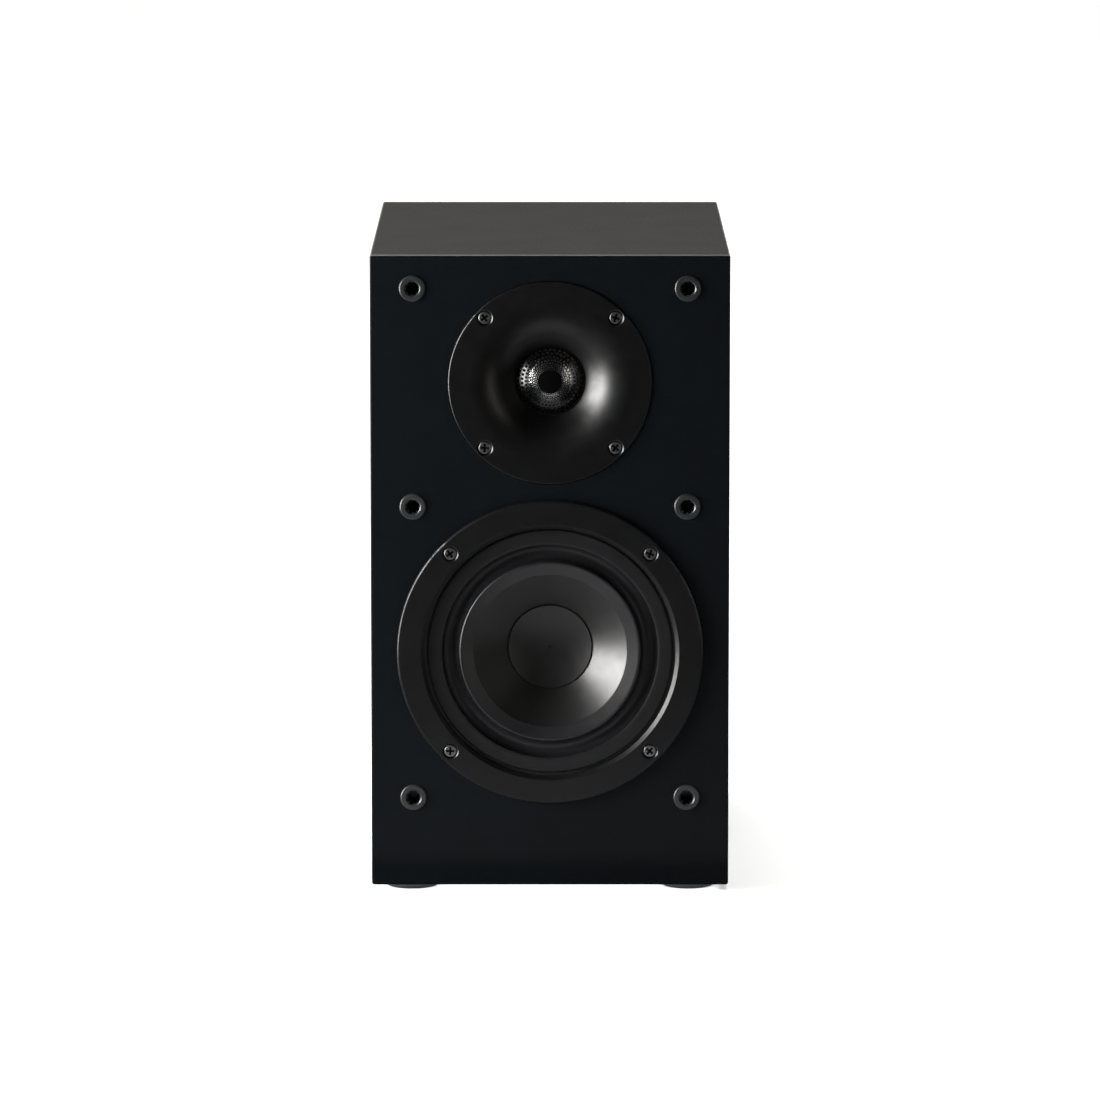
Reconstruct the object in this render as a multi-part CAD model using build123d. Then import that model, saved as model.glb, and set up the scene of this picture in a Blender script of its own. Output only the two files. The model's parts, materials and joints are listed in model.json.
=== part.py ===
from build123d import *
import math
import os

os.makedirs("parts", exist_ok=True)

# A two-way bookshelf loudspeaker, in millimetres. +Z is up, the front faces -Y, and the origin is
# on the ground under the middle of the cabinet. Depths inside a drive unit are counted back from
# the baffle's front face, so a negative depth stands proud of it.

# Cabinet
WIDTH = 170.0
HEIGHT = 302.0
DEPTH = 260.0
BAFFLE = 18.0
WALL = 15.0
LONG_EDGE = 1.2
FACE_EDGE = 0.8
FRONT = -DEPTH / 2
REAR = DEPTH / 2
FOOT_HEIGHT = 3.0
FOOT_RADIUS = 12.5
FOOT_X = 66.0
FOOT_INSET = 18.0
FLOOR = FOOT_HEIGHT
ROOF = FOOT_HEIGHT + HEIGHT
INNER_X = WIDTH / 2 - WALL
INNER_FLOOR = FLOOR + WALL
INNER_ROOF = ROOF - WALL
INNER_FRONT = FRONT + BAFFLE
INNER_REAR = REAR - WALL
BRACE_Z = FLOOR + 184.0
BRACE_THICK = 10.0
BRACE_FRAME = 22.0
FELT = 8.0

# Grille sockets
SOCKET_X = 65.0
SOCKET_Z = [FLOOR + 286.0, FLOOR + 182.2, FLOOR + 42.4]
SOCKET_FLANGE = 6.25
SOCKET_PROUD = 1.0
SOCKET_BARREL = 4.9
SOCKET_DEPTH = 12.0
SOCKET_BORE = 2.7
SOCKET_BORE_DEPTH = 10.5
SOCKET_MOUTH = 3.4
SOCKET_MOUTH_DEPTH = 3.5
SOCKET_RIBS = 8
SOCKET_RIB_TIP = 2.9
SOCKET_RIB_WIDTH = 0.6
SOCKET_RIM = 3.95
SOCKET_RIM_DEPTH = 0.5

# Cross-recess screws
SCREW_HEAD = 3.1
SCREW_HEIGHT = 1.6
SCREW_SHANK = 1.85
SCREW_HOLE = 1.9
CROSS_WIDTH = 1.0
CROSS_REACH = 2.0
CROSS_DEPTH = 1.2
SINK_RADIUS = 3.45
SINK_RIM = 4.0
SINK_CHAMFER = 0.42
SINK_DEPTH = 2.0

# Woofer
WOOFER_Z = FLOOR + 112.6
RING_RADIUS = 72.7
RING_PROUD = 3.0
RING_HOLE = 59.5
RING_BEVEL = 1.8
WOOFER_PCD = 134.0
FLANGE_RADIUS = 70.3
FLANGE_BACK = 4.2
LEDGE_DEPTH = 3.0
GASKET_THICK = 0.8
WOOFER_CUTOUT = 61.0
ROLL_CENTRE = 47.3
ROLL_RADIUS = 4.1
RUBBER = 0.6
LAND_FRONT = LEDGE_DEPTH - RUBBER
CONE_LIP = 42.2
CONE_LIP_DEPTH = 0.5
CONE_LAND = 36.6
CONE_LAND_DEPTH = 2.7
CONE_WALL = 0.7
CAP_RADIUS = 19.8
CAP_RIM_DEPTH = 15.2
CAP_DISH = 3.7
COIL_RADIUS = 12.75
FORMER_WALL = 0.2
WINDING_WALL = 0.8
PLATE_DEPTH = 36.0
PLATE_THICK = 6.0
MAGNET_THICK = 15.0
BACK_PLATE_THICK = 5.0
MAGNET_RADIUS = 40.0
YOKE_RADIUS = 36.0
SPIDER_DEPTH = 27.0
SPIDER_RADIUS = 36.0

# Tweeter
TWEETER_Z = FLOOR + 241.2
FACE_RADIUS = 48.2
FACE_PROUD = 1.0
FACE_BACK = 2.2
HORN_MOUTH = 37.5
HORN_THROAT = 17.0
HORN_SLOPE = 40.0
HORN_DEPTH = 9.5
TWEETER_PCD = 87.4
TWEETER_CUTOUT = 39.5
MESH_RADIUS = 16.0
MESH_RISE = 5.6
MESH_WALL = 0.5
DISC_RADIUS = 5.7
DOME_RADIUS = 12.7
DOME_RISE = 4.6
TWEETER_PLATE_DEPTH = 15.6
TWEETER_PLATE_THICK = 4.0
TWEETER_MAGNET_THICK = 10.0
TWEETER_MAGNET_RADIUS = 35.0

# Port
PORT_Z = FLOOR + 230.0
PORT_BORE = 20.0
PORT_WALL = 2.4
PORT_LENGTH = 110.0
PORT_FLARE = 10.0
PORT_FLANGE = 36.0
PORT_HOLE = 31.2

# Terminal cup and binding posts
CUP_Z = FLOOR + 62.0
CUP_FLANGE = (84.0, 60.0)
CUP_MOUTH = (62.0, 42.0)
CUP_WALL = 2.4
CUP_DEPTH = 20.0
CUP_PROUD = 3.0
CUP_GASKET = 1.0
CUP_SCREW_SEAT = 1.2
CUP_SCREWS = (36.5, 24.5)
POST_PITCH = 19.0
POST_STUD = 3.5
POST_LENGTH = 15.8
POST_BORE = 2.0
POST_COLLAR = 7.6
POST_CAP = 7.0
POST_CAP_LENGTH = 15.0
POST_INSERT = 5.0
RUN_GAP = 0.05

# Crossover
BOARD_X = 50.0
BOARD_FRONT = -6.0
BOARD_BACK = 78.0
BOARD_Z = INNER_FLOOR + 8.0
BOARD_THICK = 1.6


def block(x_from, x_to, y_from, y_to, z_from, z_to):
    """Box between two corners."""
    middle = Pos((x_from + x_to) / 2, (y_from + y_to) / 2, (z_from + z_to) / 2)
    return middle * Box(x_to - x_from, y_to - y_from, z_to - z_from)


def rod(radius, y_from, y_to, x=0.0, z=0.0):
    """Cylinder along Y."""
    return Pos(x, (y_from + y_to) / 2, z) * Rot(90, 0, 0) * Cylinder(radius, y_to - y_from)


def ring(outer, inner, y_from, y_to, x=0.0, z=0.0):
    """Tube along Y."""
    return rod(outer, y_from, y_to, x, z) - rod(inner, y_from - 1, y_to + 1, x, z)


def prism(outline, y_from, y_to):
    """Outline in (x, z), carried straight back from y_from to y_to."""
    return extrude(Plane.XZ.offset(-y_from) * make_face(outline), -(y_to - y_from))


def turned(outline, z=0.0, x=0.0, y=FRONT):
    """Solid of revolution about a line parallel to Y, from a closed outline in (radius, depth)."""
    return Pos(x, y, z) * revolve(make_face(outline), Axis.Y)


def around(centre_z, radius, degrees):
    """Point in (x, z) on a circle about a drive unit's axis."""
    angle = math.radians(degrees)
    return radius * math.cos(angle), centre_z + radius * math.sin(angle)


def diagonal_points(centre_z, pitch_diameter):
    """The four screw places of a drive unit, on its diagonals."""
    return [around(centre_z, pitch_diameter / 2, 45 + 90 * k) for k in range(4)]


def cap_shell(radius, rise, base, wall):
    """Outline of a spherical cap: rim at (radius, base), crown at (0, base - rise)."""
    sphere = (radius**2 + rise**2) / (2 * rise)
    half = math.asin(radius / sphere) / 2

    def arc(r):
        centre = base - rise + sphere
        angles = (0, half, 2 * half)
        return [(r * math.sin(a), centre - r * math.cos(a)) for a in angles]

    outer, inner = arc(sphere), arc(sphere - wall)
    ends = [Line(outer[0], inner[0]), Line(outer[2], inner[2])]
    return [ThreePointArc(*outer), ThreePointArc(*inner), *ends]


def rims(body, radius):
    """The circular edges that are larger than a radius."""
    return [edge for edge in body.edges().filter_by(GeomType.CIRCLE) if edge.radius > radius]


def save(name, shape):
    export_step(shape, f"parts/{name}.step")


# ---------------------------------------------------------------- cabinet


def cabinet_panels():
    """Four mitred panels, one wrapped box cut apart along its corner diagonals."""
    half = WIDTH / 2
    outer = block(-half, half, INNER_FRONT, REAR, FLOOR, ROOF)
    outer = fillet(outer.edges().filter_by(Axis.Y), LONG_EDGE)
    wrap = outer - block(-INNER_X, INNER_X, FRONT, REAR + 1, INNER_FLOOR, INNER_ROOF)
    out = half + WALL
    low, high = FLOOR - WALL, ROOF + WALL
    corners = {
        "top_panel": [(-out, high), (out, high), (INNER_X, INNER_ROOF), (-INNER_X, INNER_ROOF)],
        "bottom_panel": [(-out, low), (out, low), (INNER_X, INNER_FLOOR), (-INNER_X, INNER_FLOOR)],
        "left_side_panel": [(-out, low), (-out, high), (-INNER_X, INNER_ROOF), (-INNER_X, INNER_FLOOR)],
        "right_side_panel": [(out, low), (out, high), (INNER_X, INNER_ROOF), (INNER_X, INNER_FLOOR)],
    }
    return {name: wrap & prism(Polyline(*p, close=True), FRONT, REAR + 1) for name, p in corners.items()}


def front_baffle():
    half = WIDTH / 2
    board = block(-half, half, FRONT, INNER_FRONT, FLOOR, ROOF)
    board = fillet(board.edges().filter_by(Axis.Y), LONG_EDGE)
    face = board.faces().sort_by(Axis.Y)[0]
    board = fillet(face.edges(), FACE_EDGE)
    board -= rod(WOOFER_CUTOUT, FRONT - 1, INNER_FRONT + 1, 0, WOOFER_Z)
    board -= rod(FLANGE_RADIUS + 0.3, FRONT - 1, FRONT + FLANGE_BACK + GASKET_THICK, 0, WOOFER_Z)
    board -= rod(TWEETER_CUTOUT, FRONT - 1, INNER_FRONT + 1, 0, TWEETER_Z)
    board -= rod(FACE_RADIUS + 0.25, FRONT - 1, FRONT + FACE_BACK + GASKET_THICK, 0, TWEETER_Z)
    for x, z in diagonal_points(WOOFER_Z, WOOFER_PCD):
        board -= rod(SCREW_HOLE, FRONT, FRONT + 17, x, z)
    for x, z in diagonal_points(TWEETER_Z, TWEETER_PCD):
        board -= rod(SCREW_HOLE, FRONT, FRONT + 16, x, z)
    for z in SOCKET_Z:
        for x in (-SOCKET_X, SOCKET_X):
            board -= rod(SOCKET_BARREL + 0.05, FRONT - 1, INNER_FRONT + 1, x, z)
    return board


def rear_panel():
    board = block(-INNER_X, INNER_X, INNER_REAR, REAR, INNER_FLOOR, INNER_ROOF)
    board -= rod(PORT_HOLE, INNER_REAR - 1, REAR + 1, 0, PORT_Z)
    width, height = (side + 2 * CUP_WALL + 0.8 for side in CUP_MOUTH)
    opening = prism(RectangleRounded(width, height, 6).edges(), INNER_REAR - 1, REAR + 1)
    board -= Pos(0, 0, CUP_Z) * opening
    for x, z in cup_screw_points():
        board -= rod(SCREW_HOLE, REAR - 13.5, REAR + 1, x, z)
    return board


def window_brace():
    """Shelf brace between the drive units, glued to every wall, with one large window."""
    z_to = BRACE_Z + BRACE_THICK
    shelf = block(-INNER_X, INNER_X, INNER_FRONT, INNER_REAR, BRACE_Z, z_to)
    window = block(
        BRACE_FRAME - INNER_X,
        INNER_X - BRACE_FRAME,
        INNER_FRONT + BRACE_FRAME,
        INNER_REAR - BRACE_FRAME,
        BRACE_Z - 1,
        z_to + 1,
    )
    window = fillet(window.edges().filter_by(Axis.Z), 12)
    wire_hole = Pos(TWEETER_WIRE_X, TWEETER_WIRE_Y, BRACE_Z) * Cylinder(5, 3 * BRACE_THICK)
    return shelf - window - wire_hole


def acoustic_lining():
    """Felt sheets on the side walls above and below the brace, and one under the roof."""
    inner = INNER_X - FELT
    sheets = []
    spans = [(INNER_FLOOR + 45, BRACE_Z - 4), (BRACE_Z + BRACE_THICK + 4, INNER_ROOF - FELT)]
    for z_from, z_to in spans:
        sheets.append(block(-INNER_X, -inner, INNER_FRONT + 12, INNER_REAR - 12, z_from, z_to))
        sheets.append(block(inner, INNER_X, INNER_FRONT + 12, INNER_REAR - 12, z_from, z_to))
    roof_sheet = block(
        -INNER_X, INNER_X, INNER_FRONT + 12, INNER_REAR - 12, INNER_ROOF - FELT, INNER_ROOF
    )
    return Part() + sheets[:2] + [roof_sheet + sheets[2] + sheets[3]]


def rubber_feet():
    foot = Cylinder(FOOT_RADIUS, FOOT_HEIGHT)
    foot = fillet(foot.edges().group_by(Axis.Z)[0], 0.9)
    y = DEPTH / 2 - FOOT_INSET
    places = [(sx * FOOT_X, sy * y) for sx in (-1, 1) for sy in (-1, 1)]
    return Part() + [Pos(x, fy, FOOT_HEIGHT / 2) * foot for x, fy in places]


def grille_sockets():
    """Six cups pressed into the baffle, each with a ribbed mouth above a plain bore."""
    deep = SOCKET_DEPTH
    outline = FilletPolyline(
        (0, -SOCKET_PROUD),
        (SOCKET_FLANGE, -SOCKET_PROUD),
        (SOCKET_FLANGE, 0),
        (SOCKET_BARREL, 0),
        (SOCKET_BARREL, deep),
        (0, deep),
        radius=[0, 0.85, 0, 0, 0.6, 0],
        close=True,
    )
    socket = turned(outline, y=0)
    socket -= rod(SOCKET_BORE, -SOCKET_PROUD - 1, SOCKET_BORE_DEPTH)
    socket -= rod(SOCKET_MOUTH, -SOCKET_PROUD - 1, SOCKET_MOUTH_DEPTH)
    rim_to = SOCKET_RIM_DEPTH - SOCKET_PROUD
    face = -SOCKET_PROUD
    rim = Polyline((0, face), (SOCKET_RIM, face), (SOCKET_MOUTH, rim_to), (0, rim_to), close=True)
    socket -= turned(rim, y=0)
    half = SOCKET_RIB_WIDTH / 2
    rib = block(-half, half, rim_to, SOCKET_MOUTH_DEPTH, SOCKET_RIB_TIP, SOCKET_MOUTH + 0.2)
    for k in range(SOCKET_RIBS):
        socket += Rot(0, 360 / SOCKET_RIBS * k, 0) * rib
    places = [(x, z) for z in SOCKET_Z for x in (-SOCKET_X, SOCKET_X)]
    return Part() + [Pos(x, FRONT, z) * socket for x, z in places]


def port_tube():
    """Reflex port, flared at the rear face, with a rounded flange."""
    tube = PORT_BORE + PORT_WALL
    lip = PORT_BORE + PORT_FLARE
    proud = CUP_PROUD
    flare = ThreePointArc(
        (lip, proud),
        (lip - PORT_FLARE * math.sin(math.pi / 4), proud - PORT_FLARE * (1 - math.cos(math.pi / 4))),
        (PORT_BORE, proud - PORT_FLARE),
    )
    shell = FilletPolyline(
        (PORT_BORE, proud - PORT_FLARE),
        (PORT_BORE, proud - PORT_LENGTH),
        (tube, proud - PORT_LENGTH),
        (tube, -15),
        (PORT_HOLE - 0.3, -9),
        (PORT_HOLE - 0.3, 0),
        (PORT_FLANGE, 0),
        (PORT_FLANGE, proud),
        (lip, proud),
        radius=[0.8, 0.8, 0, 0, 0, 0, 1.6],
    )
    return turned(flare.edges() + shell.edges(), PORT_Z, y=REAR)


# ---------------------------------------------------------------- screws


def cross_screw(length, turn=18):
    """Pan-head screw along Y, its head's underside at y = 0 and its tip at y = length."""
    outline = FilletPolyline(
        (0, -SCREW_HEIGHT),
        (SCREW_HEAD, -SCREW_HEIGHT),
        (SCREW_HEAD, 0),
        (SCREW_SHANK, 0),
        (SCREW_SHANK, length - 2),
        (0.2, length),
        (0, length),
        radius=[0, 0.9, 0, 0, 0, 0, 0],
        close=True,
    )
    screw = turned(outline, y=0)
    half = CROSS_WIDTH / 2
    y_from, y_to = -SCREW_HEIGHT - 1, -SCREW_HEIGHT + CROSS_DEPTH
    slot = block(-half, half, y_from, y_to, -CROSS_REACH, CROSS_REACH)
    for angle in (turn, turn + 90):
        screw -= Rot(0, angle, 0) * slot
    return screw


def screw_group(points, seat, length):
    """One screw per place, each stopped at its own angle."""
    return Part() + [Pos(x, seat, z) * cross_screw(length, 18 + 37 * k) for k, (x, z) in enumerate(points)]


def screw_sink(surface, x, z):
    """Cutter for a screw head's round sink, with a chamfered rim, in a face at y = surface."""
    outline = Polyline(
        (0, -1),
        (SINK_RIM, -1),
        (SINK_RIM, 0),
        (SINK_RADIUS, SINK_CHAMFER),
        (SINK_RADIUS, SINK_DEPTH),
        (0, SINK_DEPTH),
        close=True,
    )
    return turned(outline, z, x, surface)


# ---------------------------------------------------------------- woofer


def woofer_trim_ring():
    outline = FilletPolyline(
        (RING_HOLE, RING_BEVEL - RING_PROUD),
        (RING_HOLE + RING_BEVEL, -RING_PROUD),
        (RING_RADIUS, -RING_PROUD),
        (RING_RADIUS, 0),
        (RING_HOLE, 0),
        radius=[0.3, 0.5, 1.2, 0, 0],
        close=True,
    )
    body = turned(outline, WOOFER_Z)
    for x, z in diagonal_points(WOOFER_Z, WOOFER_PCD):
        body -= screw_sink(FRONT - RING_PROUD, x, z)
        body -= rod(SCREW_HOLE + 0.2, FRONT - RING_PROUD - 1, FRONT + 1, x, z)
    return body


def woofer_clamp_ring():
    """Rubber band that clamps the surround's rim to the frame."""
    outline = FilletPolyline(
        (51.3, 0.9),
        (58.4, 0.9),
        (58.4, LAND_FRONT),
        (51.3, LAND_FRONT),
        radius=[0.3, 0.4, 0, 0],
        close=True,
    )
    return turned(outline, WOOFER_Z)


def woofer_basket():
    """Cast frame: flange and ledge, six legs, spider shelf and magnet seat."""
    outline = Polyline(
        (60.0, 0),
        (FLANGE_RADIUS, 0),
        (FLANGE_RADIUS, FLANGE_BACK),
        (60.2, FLANGE_BACK),
        (59.4, 12),
        (42.0, 30),
        (40.0, PLATE_DEPTH),
        (16.0, PLATE_DEPTH),
        (16.0, 33.4),
        (37.8, 33.4),
        (38.6, 29.6),
        (31.6, 29.6),
        (31.6, 27.6),
        (40.4, 27.6),
        (56.8, 11),
        (57.4, FLANGE_BACK),
        (52.2, FLANGE_BACK),
        (52.2, LEDGE_DEPTH),
        (60.0, LEDGE_DEPTH),
        close=True,
    )
    frame = turned(outline, WOOFER_Z)
    wedge = [(0, 0), around(0, 90, -19), around(0, 90, 19)]
    window = prism(Polyline(*wedge, close=True), FRONT + 8.5, FRONT + 26.2)
    window -= rod(35, FRONT, FRONT + 60)
    for k in range(6):
        frame -= Pos(0, 0, WOOFER_Z) * Rot(0, 60 * k, 0) * window
    for x, z in diagonal_points(WOOFER_Z, WOOFER_PCD):
        frame -= rod(SCREW_HOLE + 0.2, FRONT - 1, FRONT + 10, x, z)
    return frame


def woofer_gasket():
    y_from = FRONT + FLANGE_BACK
    seal = ring(FLANGE_RADIUS, 61.6, y_from, y_from + GASKET_THICK, 0, WOOFER_Z)
    for x, z in diagonal_points(WOOFER_Z, WOOFER_PCD):
        seal -= rod(SCREW_HOLE + 0.2, FRONT, FRONT + 10, x, z)
    return seal


def woofer_surround():
    """Inward half roll, its rim on the frame's ledge and its inner flange over the cone's edge."""
    outer, inner = ROLL_CENTRE + ROLL_RADIUS, ROLL_CENTRE - ROLL_RADIUS
    back = ROLL_RADIUS + RUBBER
    reach = math.sqrt(back**2 - RUBBER**2)
    lip, land = (CONE_LIP, CONE_LIP_DEPTH), (CONE_LAND, CONE_LAND_DEPTH)
    lip_back, land_back = ((r, d + RUBBER) for r, d in (lip, land))
    edges = [
        Line((58.6, LAND_FRONT), (outer, LAND_FRONT)),
        ThreePointArc((outer, LAND_FRONT), (ROLL_CENTRE, LAND_FRONT + ROLL_RADIUS), (inner, LAND_FRONT)),
        Line((inner, LAND_FRONT), (inner, 1.5)),
        ThreePointArc((inner, 1.5), (42.95, 0.75), lip),
        Line(lip, land),
        Line(land, land_back),
        Line(land_back, lip_back),
        Line(lip_back, (ROLL_CENTRE - reach, 1.9)),
        Line((ROLL_CENTRE - reach, 1.9), (ROLL_CENTRE - reach, LEDGE_DEPTH)),
        ThreePointArc(
            (ROLL_CENTRE - reach, LEDGE_DEPTH),
            (ROLL_CENTRE, LAND_FRONT + back),
            (ROLL_CENTRE + reach, LEDGE_DEPTH),
        ),
        Line((ROLL_CENTRE + reach, LEDGE_DEPTH), (58.6, LEDGE_DEPTH)),
        Line((58.6, LEDGE_DEPTH), (58.6, LAND_FRONT)),
    ]
    return turned(edges, WOOFER_Z)


def woofer_cone():
    """Straight-sided cone with a glued lip at its edge and a steeper neck at the coil."""
    front = [
        (CONE_LIP, CONE_LIP_DEPTH + RUBBER),
        (CONE_LAND, CONE_LAND_DEPTH + RUBBER),
        (19.4, 16.5),
        (COIL_RADIUS + FORMER_WALL, 23.0),
    ]
    back = [(r, d + CONE_WALL) for r, d in reversed(front)]
    return turned(Polyline(*front, *back, close=True), WOOFER_Z)


def woofer_dust_cap():
    """Shallow dished cap, glued to the cone at its rim."""
    return turned(cap_shell(CAP_RADIUS, -CAP_DISH, CAP_RIM_DEPTH, 0.5), WOOFER_Z)


def woofer_former():
    outer = COIL_RADIUS + FORMER_WALL
    return ring(outer, COIL_RADIUS, FRONT + 20, FRONT + 46, 0, WOOFER_Z)


def woofer_winding():
    inner = COIL_RADIUS + FORMER_WALL
    middle = PLATE_DEPTH + PLATE_THICK / 2
    return ring(inner + WINDING_WALL, inner, FRONT + middle - 6, FRONT + middle + 6, 0, WOOFER_Z)


def corrugations(r_from, r_to, count, height, depth):
    """A row of alternating arcs from r_to in to r_from."""
    step = (r_to - r_from) / count
    arcs = []
    for k in range(count):
        start = r_to - step * k
        side = height if k % 2 else -height
        arcs.append(
            ThreePointArc((start, depth), (start - step / 2, depth + side), (start - step, depth))
        )
    return arcs


def woofer_spider():
    """Corrugated suspension from the frame's shelf to the voice-coil former."""
    hub = COIL_RADIUS + FORMER_WALL
    wall = 0.5
    depth = SPIDER_DEPTH
    edges = corrugations(15.0, 31.0, 8, 1.1, depth) + corrugations(15.0, 31.0, 8, 1.1, depth + wall)
    edges += [Line((SPIDER_RADIUS, d), (31.0, d)) for d in (depth, depth + wall)]
    edges += [Line((15.0, d), (hub, d)) for d in (depth, depth + wall)]
    edges += [Line((r, depth), (r, depth + wall)) for r in (SPIDER_RADIUS, hub)]
    return turned(edges, WOOFER_Z)


def woofer_top_plate():
    hole = COIL_RADIUS + FORMER_WALL + WINDING_WALL + 0.45
    y_from = FRONT + PLATE_DEPTH
    return ring(YOKE_RADIUS, hole, y_from, y_from + PLATE_THICK, 0, WOOFER_Z)


def woofer_magnet():
    y_from = FRONT + PLATE_DEPTH + PLATE_THICK
    body = ring(MAGNET_RADIUS, 20, y_from, y_from + MAGNET_THICK, 0, WOOFER_Z)
    return chamfer(rims(body, 30), 0.8)


def woofer_back_plate():
    """Back plate and vented pole piece in one forging."""
    back = PLATE_DEPTH + PLATE_THICK + MAGNET_THICK
    outline = FilletPolyline(
        (4.0, PLATE_DEPTH - 0.5),
        (COIL_RADIUS - 0.45, PLATE_DEPTH - 0.5),
        (COIL_RADIUS - 0.45, back),
        (YOKE_RADIUS, back),
        (YOKE_RADIUS, back + BACK_PLATE_THICK),
        (4.0, back + BACK_PLATE_THICK),
        radius=[0, 0, 0, 0, 1.2, 0],
        close=True,
    )
    return turned(outline, WOOFER_Z)


STRIP_Z = WOOFER_Z - 47.0
STRIP_DEPTH = 31.0
STRIP_TAB_X = 12.5


def woofer_terminal_strip():
    """Phenolic strip on the frame's lowest leg with two solder tabs."""
    y = FRONT + STRIP_DEPTH
    x = STRIP_TAB_X
    strip = block(-x - 3, x + 3, y, y + 1.4, STRIP_Z - 4, STRIP_Z + 5)
    for side in (-x, x):
        strip += block(side - 1.2, side + 1.2, y + 1.4, y + 9, STRIP_Z - 0.4, STRIP_Z + 0.4)
    foot = block(-2.5, 2.5, y - 3.2, y, STRIP_Z + 2, STRIP_Z + 5)
    return strip + (foot - woofer_basket())


def woofer_tinsel_leads():
    """Two braided leads that hang in a slack bow between the cone's neck and the strip."""
    leads = []
    for side in (-1, 1):
        start = (side * 8, FRONT + 24.4, WOOFER_Z - 13)
        middle = (side * 12.2, FRONT + 21.4, WOOFER_Z - 38)
        end = (side * STRIP_TAB_X, FRONT + STRIP_DEPTH - 0.3, STRIP_Z - 2)
        bow = ThreePointArc(start, middle, end)
        leads.append(sweep(Plane(origin=bow @ 0, z_dir=bow % 0) * Circle(0.5), path=bow))
    return Part() + leads


# ---------------------------------------------------------------- tweeter


def horn_wall():
    """The horn's wall: an arc tangent to the face at the mouth, then a straight cone to the throat."""
    run, fall = HORN_MOUTH - HORN_THROAT, HORN_DEPTH + FACE_PROUD
    slope = math.radians(HORN_SLOPE)
    radius = (run * math.tan(slope) - fall) / (1 / math.cos(slope) - 1)
    depth = radius - FACE_PROUD
    angles = (0, slope / 2, slope)
    mouth, bend, knee = ((HORN_MOUTH - radius * math.sin(a), depth - radius * math.cos(a)) for a in angles)
    throat = (HORN_THROAT, HORN_DEPTH)
    return [ThreePointArc(mouth, bend, knee), Line(knee, throat)], mouth, throat


def tweeter_faceplate():
    """Moulded plate: flat rim, horn, mesh seat and the boss that carries the motor."""
    horn, mouth, throat = horn_wall()
    seat = HORN_DEPTH + 0.8
    boss = TWEETER_PLATE_DEPTH - 0.2
    rim = FilletPolyline(
        mouth,
        (FACE_RADIUS, -FACE_PROUD),
        (FACE_RADIUS, FACE_BACK),
        (HORN_MOUTH - 1, FACE_BACK),
        (28.0, 3.6),
        (24.6, boss),
        (18.6, boss),
        (18.6, seat + 1.6),
        (15.0, seat + 1.6),
        (15.0, seat),
        (HORN_THROAT, seat),
        throat,
        radius=[0.7, 0, 0, 0, 0, 0, 0, 0, 0, 0],
    )
    plate = turned(horn + rim.edges(), TWEETER_Z)
    for x, z in diagonal_points(TWEETER_Z, TWEETER_PCD):
        plate -= screw_sink(FRONT - FACE_PROUD, x, z)
        plate -= rod(SCREW_HOLE + 0.2, FRONT - FACE_PROUD - 1, FRONT + 5, x, z)
    return plate


def tweeter_gasket():
    y_from = FRONT + FACE_BACK
    seal = ring(FACE_RADIUS, 39.8, y_from, y_from + GASKET_THICK, 0, TWEETER_Z)
    for x, z in diagonal_points(TWEETER_Z, TWEETER_PCD):
        seal -= rod(SCREW_HOLE + 0.2, FRONT, FRONT + 10, x, z)
    return seal


def tweeter_mesh():
    """Guard over the dome; its rim lies on the seat at the throat."""
    base = HORN_DEPTH + 0.8
    rim = ring(MESH_RADIUS + 0.4, MESH_RADIUS - 0.9, FRONT + base - 0.5, FRONT + base, 0, TWEETER_Z)
    return rim + turned(cap_shell(MESH_RADIUS, MESH_RISE, base - 0.5, MESH_WALL), TWEETER_Z)


def tweeter_centre_disc():
    """Solid pad at the crown of the guard, following its curve."""
    sphere = (MESH_RADIUS**2 + MESH_RISE**2) / (2 * MESH_RISE)
    outer = sphere + 0.6
    crown = HORN_DEPTH + 0.3 - MESH_RISE
    drop = outer - math.sqrt(outer**2 - DISC_RADIUS**2)
    return turned(cap_shell(DISC_RADIUS, drop, crown - 0.6 + drop, 0.6), TWEETER_Z)


def tweeter_dome():
    base = TWEETER_PLATE_DEPTH - 0.6
    return turned(cap_shell(DOME_RADIUS, DOME_RISE, base, 0.25), TWEETER_Z)


def tweeter_suspension():
    """Half-roll of coated cloth from the dome's rim to the front plate."""
    base = TWEETER_PLATE_DEPTH
    wall = 0.2
    inner, outer = DOME_RADIUS + 0.02, 16.4
    middle = (inner + outer) / 2
    land = base - wall
    edges = [
        ThreePointArc((inner, land - 0.4), (middle, land - 1.5), (outer, land)),
        Line((outer, land), (18.4, land)),
        Line((18.4, land), (18.4, base)),
        Line((18.4, base), (outer, base)),
        ThreePointArc((outer, base), (middle, base - 1.5), (inner, base - 0.4)),
        Line((inner, base - 0.4), (inner, land - 0.4)),
    ]
    return turned(edges, TWEETER_Z)


def tweeter_former():
    y_from = FRONT + TWEETER_PLATE_DEPTH - 0.1
    return ring(DOME_RADIUS, DOME_RADIUS - 0.12, y_from, y_from + 4.4, 0, TWEETER_Z)


def tweeter_winding():
    middle = FRONT + TWEETER_PLATE_DEPTH + TWEETER_PLATE_THICK / 2
    return ring(DOME_RADIUS + 0.3, DOME_RADIUS, middle - 1.3, middle + 1.3, 0, TWEETER_Z)


def tweeter_front_plate():
    y_from = FRONT + TWEETER_PLATE_DEPTH
    return ring(33, DOME_RADIUS + 0.65, y_from, y_from + TWEETER_PLATE_THICK, 0, TWEETER_Z)


def tweeter_magnet():
    y_from = FRONT + TWEETER_PLATE_DEPTH + TWEETER_PLATE_THICK
    body = ring(TWEETER_MAGNET_RADIUS, 17, y_from, y_from + TWEETER_MAGNET_THICK, 0, TWEETER_Z)
    return chamfer(rims(body, 30), 0.8)


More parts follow.
